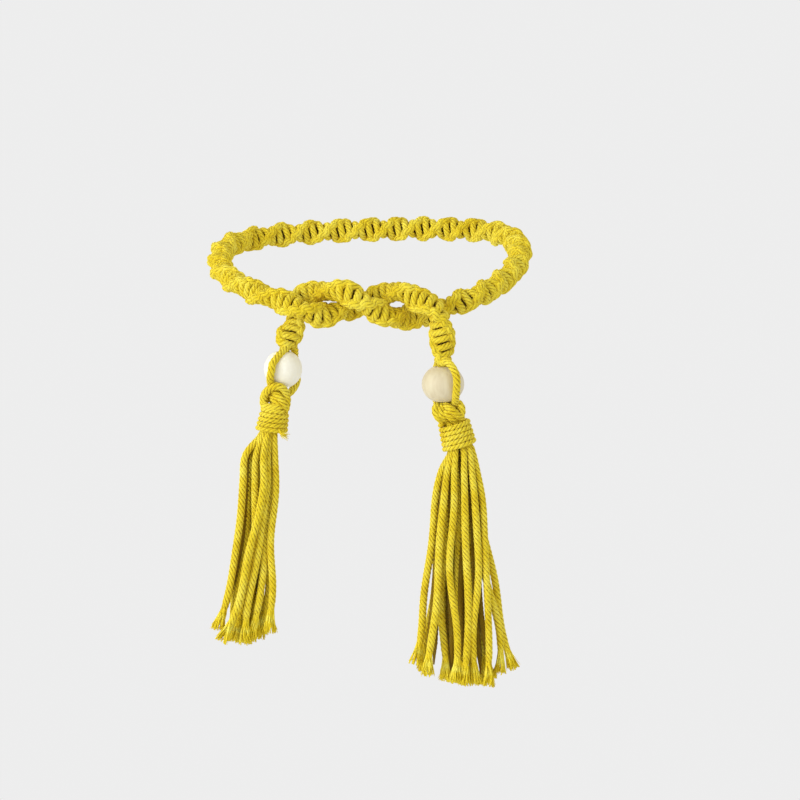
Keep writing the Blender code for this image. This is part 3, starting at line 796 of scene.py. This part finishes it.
# tassels: a strand is its place across at the collar, a quarter, half and three quarters down and at the
# tip, then its rank (-1 at the front, 1 at the back) at the collar and at the tip, and the tip's height
leftTassel = {
    "collarTop": (-55.1, -111.0, -99.6),
    "collarFoot": (-57.8, -111.0, -115.0),
    "collarRadii": (8.5, 9.8),
    "turns": 4.6,
    "startAngle": 0.8,
    "cutEnds": [((-52.7, -118.6, -112.4), (-48.8, -120.6, -115.2))],
    "filled": [(2, 9), (3, 10), (4, 12), (5, 11), (0, 8)],  # strands with a dark inner one of painted shade between them
    "shoulder": {"at": 0.11, "out": 0.85},  # strands spread soon below the collar
    "strands": [
        (-69.0, -74.5, -76.2, -81.0, -91.0, -0.5, -0.6, -229.5),
        (-66.0, -70.5, -72.8, -76.5, -81.0, 0.4, 0.6, -236.0),
        (-64.5, -67.0, -68.0, -71.5, -78.5, -0.7, 0.0, -237.0),
        (-61.0, -62.0, -68.0, -75.0, -86.5, -1.0, -1.2, -235.5),
        (-58.0, -59.5, -65.0, -69.5, -72.5, -0.8, -0.8, -237.5),
        (-56.5, -58.0, -61.0, -64.5, -67.0, 0.1, -0.6, -234.0),
        (-55.0, -55.5, -57.0, -58.0, -57.0, -0.6, -0.6, -231.0),
        (-57.5, -58.5, -59.5, -60.5, -62.0, 0.8, 0.3, -233.5),
        (-66.0, -69.0, -72.5, -79.0, -84.5, 0.9, 1.0, -237.5),
        (-63.5, -66.0, -69.5, -73.5, -75.5, 0.9, 1.1, -239.0),
        (-61.0, -63.5, -66.0, -69.0, -70.5, 1.0, 1.1, -238.0),
        (-58.5, -61.0, -63.5, -65.5, -65.0, 0.9, 1.0, -236.5),
        (-62.0, -64.0, -65.5, -70.0, -76.0, 0.2, 0.5, -238.0),
    ],
}
rightTassel = {
    "collarTop": (48.3, -115.0, -106.2),
    "collarFoot": (52.4, -115.0, -123.2),
    "collarRadii": (9.6, 10.5),
    "turns": 5.1,
    "startAngle": 2.6,
    "cutEnds": [],
    "filled": [(1, 10), (2, 10), (3, 11), (5, 12), (6, 14), (7, 15), (2, 12), (4, 13)],
    "shoulder": {"at": 0.11, "out": 0.52},
    "strands": [
        (41.5, 37.5, 35.5, 30.5, 26.0, 0.35, -0.1, -250.0),
        (43.5, 43.0, 39.5, 37.5, 35.0, -0.6, -0.8, -255.5),
        (46.0, 45.0, 43.0, 42.0, 43.0, 0.3, -0.2, -259.0),
        (48.5, 48.5, 47.0, 49.5, 49.5, -0.9, -0.9, -259.5),
        (51.5, 51.5, 51.0, 53.0, 54.0, 0.2, 0.3, -262.0),
        (54.0, 55.5, 56.0, 56.5, 56.5, -1.0, -0.8, -261.0),
        (58.5, 61.5, 62.5, 60.5, 63.0, -0.9, -0.7, -261.0),
        (62.5, 66.0, 68.0, 68.0, 69.5, -0.4, -0.7, -262.0),
        (60.5, 64.0, 66.5, 73.5, 76.0, 0.3, 0.0, -255.5),
        (58.5, 63.0, 69.5, 76.0, 84.0, 0.7, 0.4, -253.0),
        (44.5, 41.0, 38.5, 35.5, 31.5, 0.9, 0.8, -255.0),
        (48.0, 45.5, 44.5, 45.5, 46.5, 0.9, 0.9, -261.5),
        (50.5, 50.0, 50.0, 50.0, 51.5, 1.0, 1.1, -262.5),
        (54.0, 54.0, 54.0, 56.0, 60.5, 0.9, 0.9, -263.0),
        (56.5, 58.5, 59.5, 64.0, 66.5, 1.0, 0.9, -263.5),
        (53.0, 52.5, 57.0, 62.0, 72.5, 0.2, 0.5, -260.0),
    ],
}


def collarAxis(tassel):
    top = np.array(tassel["collarTop"])
    foot = np.array(tassel["collarFoot"])
    down = unit(foot - top)
    side = unit(np.array([1.0, 0.0, 0.0]) - down * down[0])
    return top, foot, down, side, np.cross(down, side)


crowd = {
    "levels": 5,
    "clearance": (3.35, 4.64, 4.64, 4.64, 4.64),  # least distance between strands at each level
    "headDepth": 0.57,  # depth of the outer ranks, as a share of the collar's foot
    "tipDepth": 0.84,
    "rootInset": 3.6,
    "rounds": 500,
    "push": 0.25,
    "across": 0.45,  # strands yield less to the side than in depth
    "hold": (0.04, 0.01),
}


def strandRows(tassel):
    # strands that crowd push one another apart; a row is x and y at each level, then the tip's height
    rows = np.array(tassel["strands"])
    levels = crowd["levels"]
    share = np.linspace(0.0, 1.0, levels)
    rank = rows[:, levels, None] * (1 - share) + rows[:, levels + 1, None] * share
    radius = tassel["collarRadii"][1]
    reach = radius * (crowd["headDepth"] * (1 - share) + crowd["tipDepth"] * share)
    centre = np.array(tassel["collarFoot"][:2])
    wanted = np.stack([rows[:, :levels], centre[1] + rank * reach], axis=-1)
    places = wanted.copy()
    for _ in range(crowd["rounds"]):
        apart = places[:, None] - places[None]
        distance = np.maximum(np.linalg.norm(apart, axis=-1), tiny)
        overlap = np.clip(np.array(crowd["clearance"]) - distance, 0.0, None)
        push = apart / distance[..., None] * overlap[..., None] * crowd["push"]
        places += push.sum(axis=1) * (crowd["across"], 1.0)
        places += (wanted - places) * crowd["hold"]
        # the roots stay inside the collar's foot
        offset = places[:, 0] - centre
        length = np.maximum(np.linalg.norm(offset, axis=1, keepdims=True), tiny)
        places[:, 0] = centre + offset * np.minimum(1.0, (radius - crowd["rootInset"]) / length)
    return np.hstack([places.reshape(len(rows), -1), rows[:, -1:]])


neck = {
    "topInset": 1.6,
    "footInset": 2.0,
    "footDrop": 2.4,
    "shares": (0.50, 0.60, 0.72, 0.96),  # how far the strands spread at four places down the collar
}


def strandCorners(tassel, row):
    # from the neck inside the collar, out of its foot and down to the tip
    top, foot, down, _, _ = collarAxis(tassel)
    levels = row[:-1].reshape(-1, 2)
    drop = row[-1] - foot[2]
    root = np.array([*levels[0], foot[2]])
    root = root - np.array([0, 0, ((root - foot) @ down) / down[2]])
    offset = root - foot
    middles = [top + down * neck["topInset"], (top + foot) / 2]
    middles += [foot - down * neck["footInset"], foot + down * neck["footDrop"]]
    inCollar = [middle + offset * share for middle, share in zip(middles, neck["shares"])]
    spread = tassel["shoulder"]
    mixed = root[:2] * (1 - spread["out"]) + levels[1] * spread["out"]
    shoulder = (*mixed, foot[2] + drop * spread["at"])
    heights = foot[2] + drop * np.linspace(0.0, 1.0, len(levels))[1:]
    below = [(*place, height) for place, height in zip(levels[1:], heights)]
    return [*inCollar, shoulder, *below]


fray = {
    "length": 17.0,
    "bareEnd": 9.0,  # the plies stop this far above the tip
    "points": 6,
    "starts": (0.7, 1.0),  # shares of the length
    "finishes": (-1.7, 1.0),  # from short of the tip to past it
    "plyStray": 0.2,
    "angleStray": 0.28,
    "leastSpread": 0.05,
    "firstReach": 1.55,
    "openingPower": 1.6,
    "turn": 40.0,
    "untwists": 6,  # the fibres go on turning this far past their start
    "yarns": {"count": 40, "reach": 4.0, "stray": 0.09, "thick": 0.46, "thin": 0.38},
    "hairs": {"count": 34, "reach": 4.7, "stray": 0.16, "thick": 0.18, "thin": 0.11},
}


def frayRoutes(line, along, kind):
    # yarns and hairs leave the loosening plies and fan out to the tip
    side, other, ahead = carriedFrame(line)
    count = kind["count"]
    points = fray["points"]
    plies = fivePly["plies"]
    start = along[-1] - fray["length"] * dice.uniform(*fray["starts"], count)
    finish = along[-1] + dice.uniform(*fray["finishes"], count)
    # the yarns of one ply stay together
    ply = np.arange(count) % plies
    plyDrift = dice.normal(0, 1.0, (plies, points)).cumsum(axis=1) * fray["plyStray"]
    turn = dice.uniform(0, 2 * math.pi) + 2 * math.pi * ply / plies
    turn = turn + dice.normal(0, fray["angleStray"], count)
    spread = np.sqrt(dice.uniform(fray["leastSpread"], 1, count))
    drift = plyDrift[ply] + dice.normal(0, 1.0, (count, points)).cumsum(axis=1) * kind["stray"]
    routes = np.empty((count, points, 3))
    for i in range(points):
        share = i / (points - 1)
        place = start + (finish - start) * share
        middle = readAt(place, along, line)
        beyond = np.maximum(place - along[-1], 0.0)[:, None]
        forward = unit(readAt(place, along, ahead))
        across = readAt(place, along, side)
        upward = readAt(place, along, other)
        twist = 2 * math.pi * np.minimum(place, start + fray["untwists"]) / fray["turn"]
        angle = turn - twist + drift[:, i]
        opened = fray["firstReach"] + (kind["reach"] - fray["firstReach"]) * share ** fray["openingPower"]
        ring = np.cos(angle)[:, None] * across + np.sin(angle)[:, None] * upward
        routes[:, i] = middle + forward * beyond + ring * (spread * opened)[:, None]
    return routes


strandLook = {
    "radius": 2.36,
    "radiusVaries": (0.96, 1.04),
    "turnVaries": (0.94, 1.08),
    "spacing": 1.0,
    "skinSpacing": 1.05,
    "swell": [(0.0, 0.6), (0.06, 0.72), (0.2, 0.84), (0.38, 0.95), (0.6, 0.95)],
    "loosened": (0.95, 0.66),  # thickness where the fray starts and at the plies' end
    "sway": (1.6, 0.8),  # how far a strand wanders across and in depth on its way down
    "swayPower": 1.3,  # the wandering grows with this power of the way down
    "waves": (1.4, 2.4),
}


def strandSkins(tassel, rows):
    ropes = []
    frays = []
    for row in rows:
        line, along = resample(smoothRoute(strandCorners(tassel, row)), strandLook["spacing"])
        share = along / along[-1]
        for axis, sway in enumerate(strandLook["sway"]):
            wave = 2 * math.pi * (random.uniform(*strandLook["waves"]) * share + random.random())
            line[:, axis] += sway * share ** strandLook["swayPower"] * np.sin(wave)
        plied = line[along < along[-1] - fray["bareEnd"]]
        loosens = 1 - (fray["length"] - fray["bareEnd"]) / along[-1]
        swell = [*strandLook["swell"], *zip((loosens, 1.0), strandLook["loosened"])]
        lay = dict(fivePly, turn=fivePly["turn"] * random.uniform(*strandLook["turnVaries"]))
        phase = random.uniform(0, 2 * math.pi)
        radius = strandLook["radius"] * random.uniform(*strandLook["radiusVaries"])
        ropes.append(ropeSkin(plied, radius, lay, strandLook["skinSpacing"], swell, phase, steps=1))
        for kind in (fray["yarns"], fray["hairs"]):
            frays.append(fibreSkin(frayRoutes(line, along, kind), kind["thick"], kind["thin"]))
    return ropes, frays


innerStrand = {
    "radius": 1.8,
    "lift": 6.0,
    "spacing": 1.6,
    "swell": [(0.0, 1.15), (0.25, 1.1), (0.9, 1.0), (1.0, 0.25)],
}


def innerSkins(tassel, rows):
    # dark cords in the bundle's middle, painted shade that shows only as the dark between its strands
    radius, spacing, swell = (innerStrand[key] for key in ("radius", "spacing", "swell"))
    skins = []
    for first, second in tassel["filled"]:
        row = np.mean([rows[first], rows[second]], axis=0)
        row[-1] += innerStrand["lift"]
        corners = strandCorners(tassel, row)[2:]  # from just inside the collar's foot
        skins.append(ropeSkin(corners, radius, fivePly, spacing, swell))
    return skins


def makeTassel(label, tassel, node):
    rows = strandRows(tassel)
    ropes, frays = strandSkins(tassel, rows)
    addPiece("strands" + label, ropes, cottonCord, [node])
    addPiece("innerStrands" + label, innerSkins(tassel, rows), paintedShadeStrand, [node])
    addPiece("frayedTips" + label, frays, paintedLightYarn, [node])


cutEnd = {"fibres": 34, "points": 5, "bunch": 0.55, "fan": 1.25, "sag": 0.8, "thick": 0.24, "thin": 0.13}
collar = {"tightness": 1.06, "angleStep": 0.16, "spacing": 0.7}


def cutEndSkin(place, towards):
    # the collar cord's cut end: short fibres that fan out
    count = cutEnd["fibres"]
    start = np.array(place) + dice.normal(0, cutEnd["bunch"], (count, 3))
    finish = np.array(towards) + dice.normal(0, cutEnd["fan"], (count, 3))
    share = np.linspace(0, 1, cutEnd["points"])[None, :, None]
    sag = np.array([0.0, 0.0, -cutEnd["sag"]]) * np.sin(math.pi * share)
    route = start[:, None] * (1 - share) + finish[:, None] * share + sag
    return fibreSkin(route, cutEnd["thick"], cutEnd["thin"])


def makeCollar(label, tassel, node):
    top, foot, down, side, other = collarAxis(tassel)
    length = np.linalg.norm(foot - top)
    radius = length / (tassel["turns"] + 1) / 2 * collar["tightness"]
    angle = np.arange(0.0, 2 * math.pi * tassel["turns"], collar["angleStep"])
    share = (angle / angle[-1])[:, None]
    first, last = tassel["collarRadii"]
    reach = first + (last - first) * share - radius
    turned = (angle + tassel["startAngle"])[:, None]
    spoke = np.cos(turned) * side + np.sin(turned) * other
    middle = top + down * (radius + share * (length - 2 * radius))
    winding = ropeSkin(middle + spoke * reach, radius, thinPly, collar["spacing"], steps=1)
    skins = [winding] + [cutEndSkin(*end) for end in tassel["cutEnds"]]
    addPiece("collarWinding" + label, skins, packedCord, [node])


makeTassel("Left", leftTassel, "tassel_left")
makeTassel("Right", rightTassel, "tassel_right")
makeCollar("Left", leftTassel, "collar_left")
makeCollar("Right", rightTassel, "collar_right")

# pale studio
studio = {
    "floorHeight": -0.34,
    "nearFloor": 0.01,
    "wallDepth": 0.9,
    "wallHeight": 2.4,
    "wallBend": 0.5,
    "bendSteps": 16,
    "width": 6.0,  # and depth
    "floorColour": (0.92, 0.92, 0.91, 1.0),
    "speckColour": (0.86, 0.86, 0.86, 1.0),
    "speckNoise": (14.0, 2.0),
    "speckTones": (0.3, 0.7, 0.0, 0.04),
    "floorRoughness": 0.9,
    "skyColour": (1.0, 1.0, 1.0, 1.0),
    "skyStrength": 0.85,
    "lens": 139.32,
    "sensorWidth": 36.0,
    "cameraPlace": (0.01744, -1.90796, 0.06186),
    "lookDown": 5.0,
}
# each lamp's place, what it is turned to, its size and its power
lamps = {
    "keyLight": ((1.5, -2.6, 1.5), (0.0, -0.1, -0.1), 0.9, 300.0),
    "fillLight": ((-2.2, -1.8, 0.4), (0.0, -0.1, -0.1), 1.8, 44.0),
    "topLight": ((-0.1, -0.3, 1.8), (0.0, -0.05, -0.1), 1.2, 60.0),
}


def makePaper():
    n = Nodes("palePaper")
    n.shader.inputs["Roughness"].default_value = studio["floorRoughness"]
    place = n.add("ShaderNodeTexCoord").outputs["Object"]
    specks = n.soft(n.noise(place, *studio["speckNoise"]), *studio["speckTones"])
    tone = n.blend(specks, studio["floorColour"], studio["speckColour"])
    n.wire(tone, n.shader.inputs["Base Color"])
    return n.material


def makeStudio():
    bpy.ops.object.select_all(action="DESELECT")
    bpy.ops.mesh.primitive_plane_add(size=1.0)
    floor = bpy.context.object
    floor.name = "floor"
    low = studio["floorHeight"]
    bpy.ops.object.mode_set(mode="EDIT")
    bpy.ops.transform.resize(value=(studio["width"], studio["width"], 1.0))
    bpy.ops.transform.translate(value=(0.0, studio["wallDepth"] - studio["width"] / 2, low))
    # the far edge is drawn up into a wall, and the corner is rounded
    selectBy(floor, lambda vertex: vertex.co.y > 0)
    bpy.ops.mesh.extrude_region_move(TRANSFORM_OT_translate={"value": (0.0, 0.0, studio["wallHeight"])})
    selectBy(floor, lambda vertex: vertex.co.y > 0 and vertex.co.z < low + studio["nearFloor"])
    bpy.ops.mesh.select_mode(type="EDGE")
    bpy.ops.mesh.bevel(offset=studio["wallBend"], segments=studio["bendSteps"])
    bpy.ops.mesh.select_all(action="SELECT")
    bpy.ops.mesh.normals_make_consistent(inside=False)
    bpy.ops.object.mode_set(mode="OBJECT")
    bpy.ops.object.shade_smooth()
    floor.data.materials.append(makePaper())


def addLight(name, place, target, size, power):
    light = bpy.data.lights.new(name, "AREA")
    light.shape = "DISK"
    light.size = size
    light.energy = power
    lamp = bpy.data.objects.new(name, light)
    bpy.context.scene.collection.objects.link(lamp)
    forward = unit(np.array(target) - np.array(place))
    lamp.location = place
    lamp.rotation_euler = (math.acos(-forward[2]), 0.0, math.atan2(forward[1], forward[0]) - math.pi / 2)


def makeSky():
    world = bpy.data.worlds.new("paleRoom")
    bpy.context.scene.world = world
    world.use_nodes = True
    sky = world.node_tree.nodes["Background"].inputs
    sky["Color"].default_value = studio["skyColour"]
    sky["Strength"].default_value = studio["skyStrength"]


def makeCamera():
    lens = bpy.data.cameras.new("frontCamera")
    lens.lens = studio["lens"]
    lens.sensor_width = studio["sensorWidth"]
    camera = bpy.data.objects.new("frontCamera", lens)
    bpy.context.scene.collection.objects.link(camera)
    camera.location = studio["cameraPlace"]
    camera.rotation_euler = (math.radians(90.0 - studio["lookDown"]), 0.0, 0.0)
    bpy.context.scene.camera = camera
    bpy.context.scene.view_settings.view_transform = "Standard"


makeStudio()
for name, values in lamps.items():
    addLight(name, *values)
makeSky()
makeCamera()
print("studio ready")
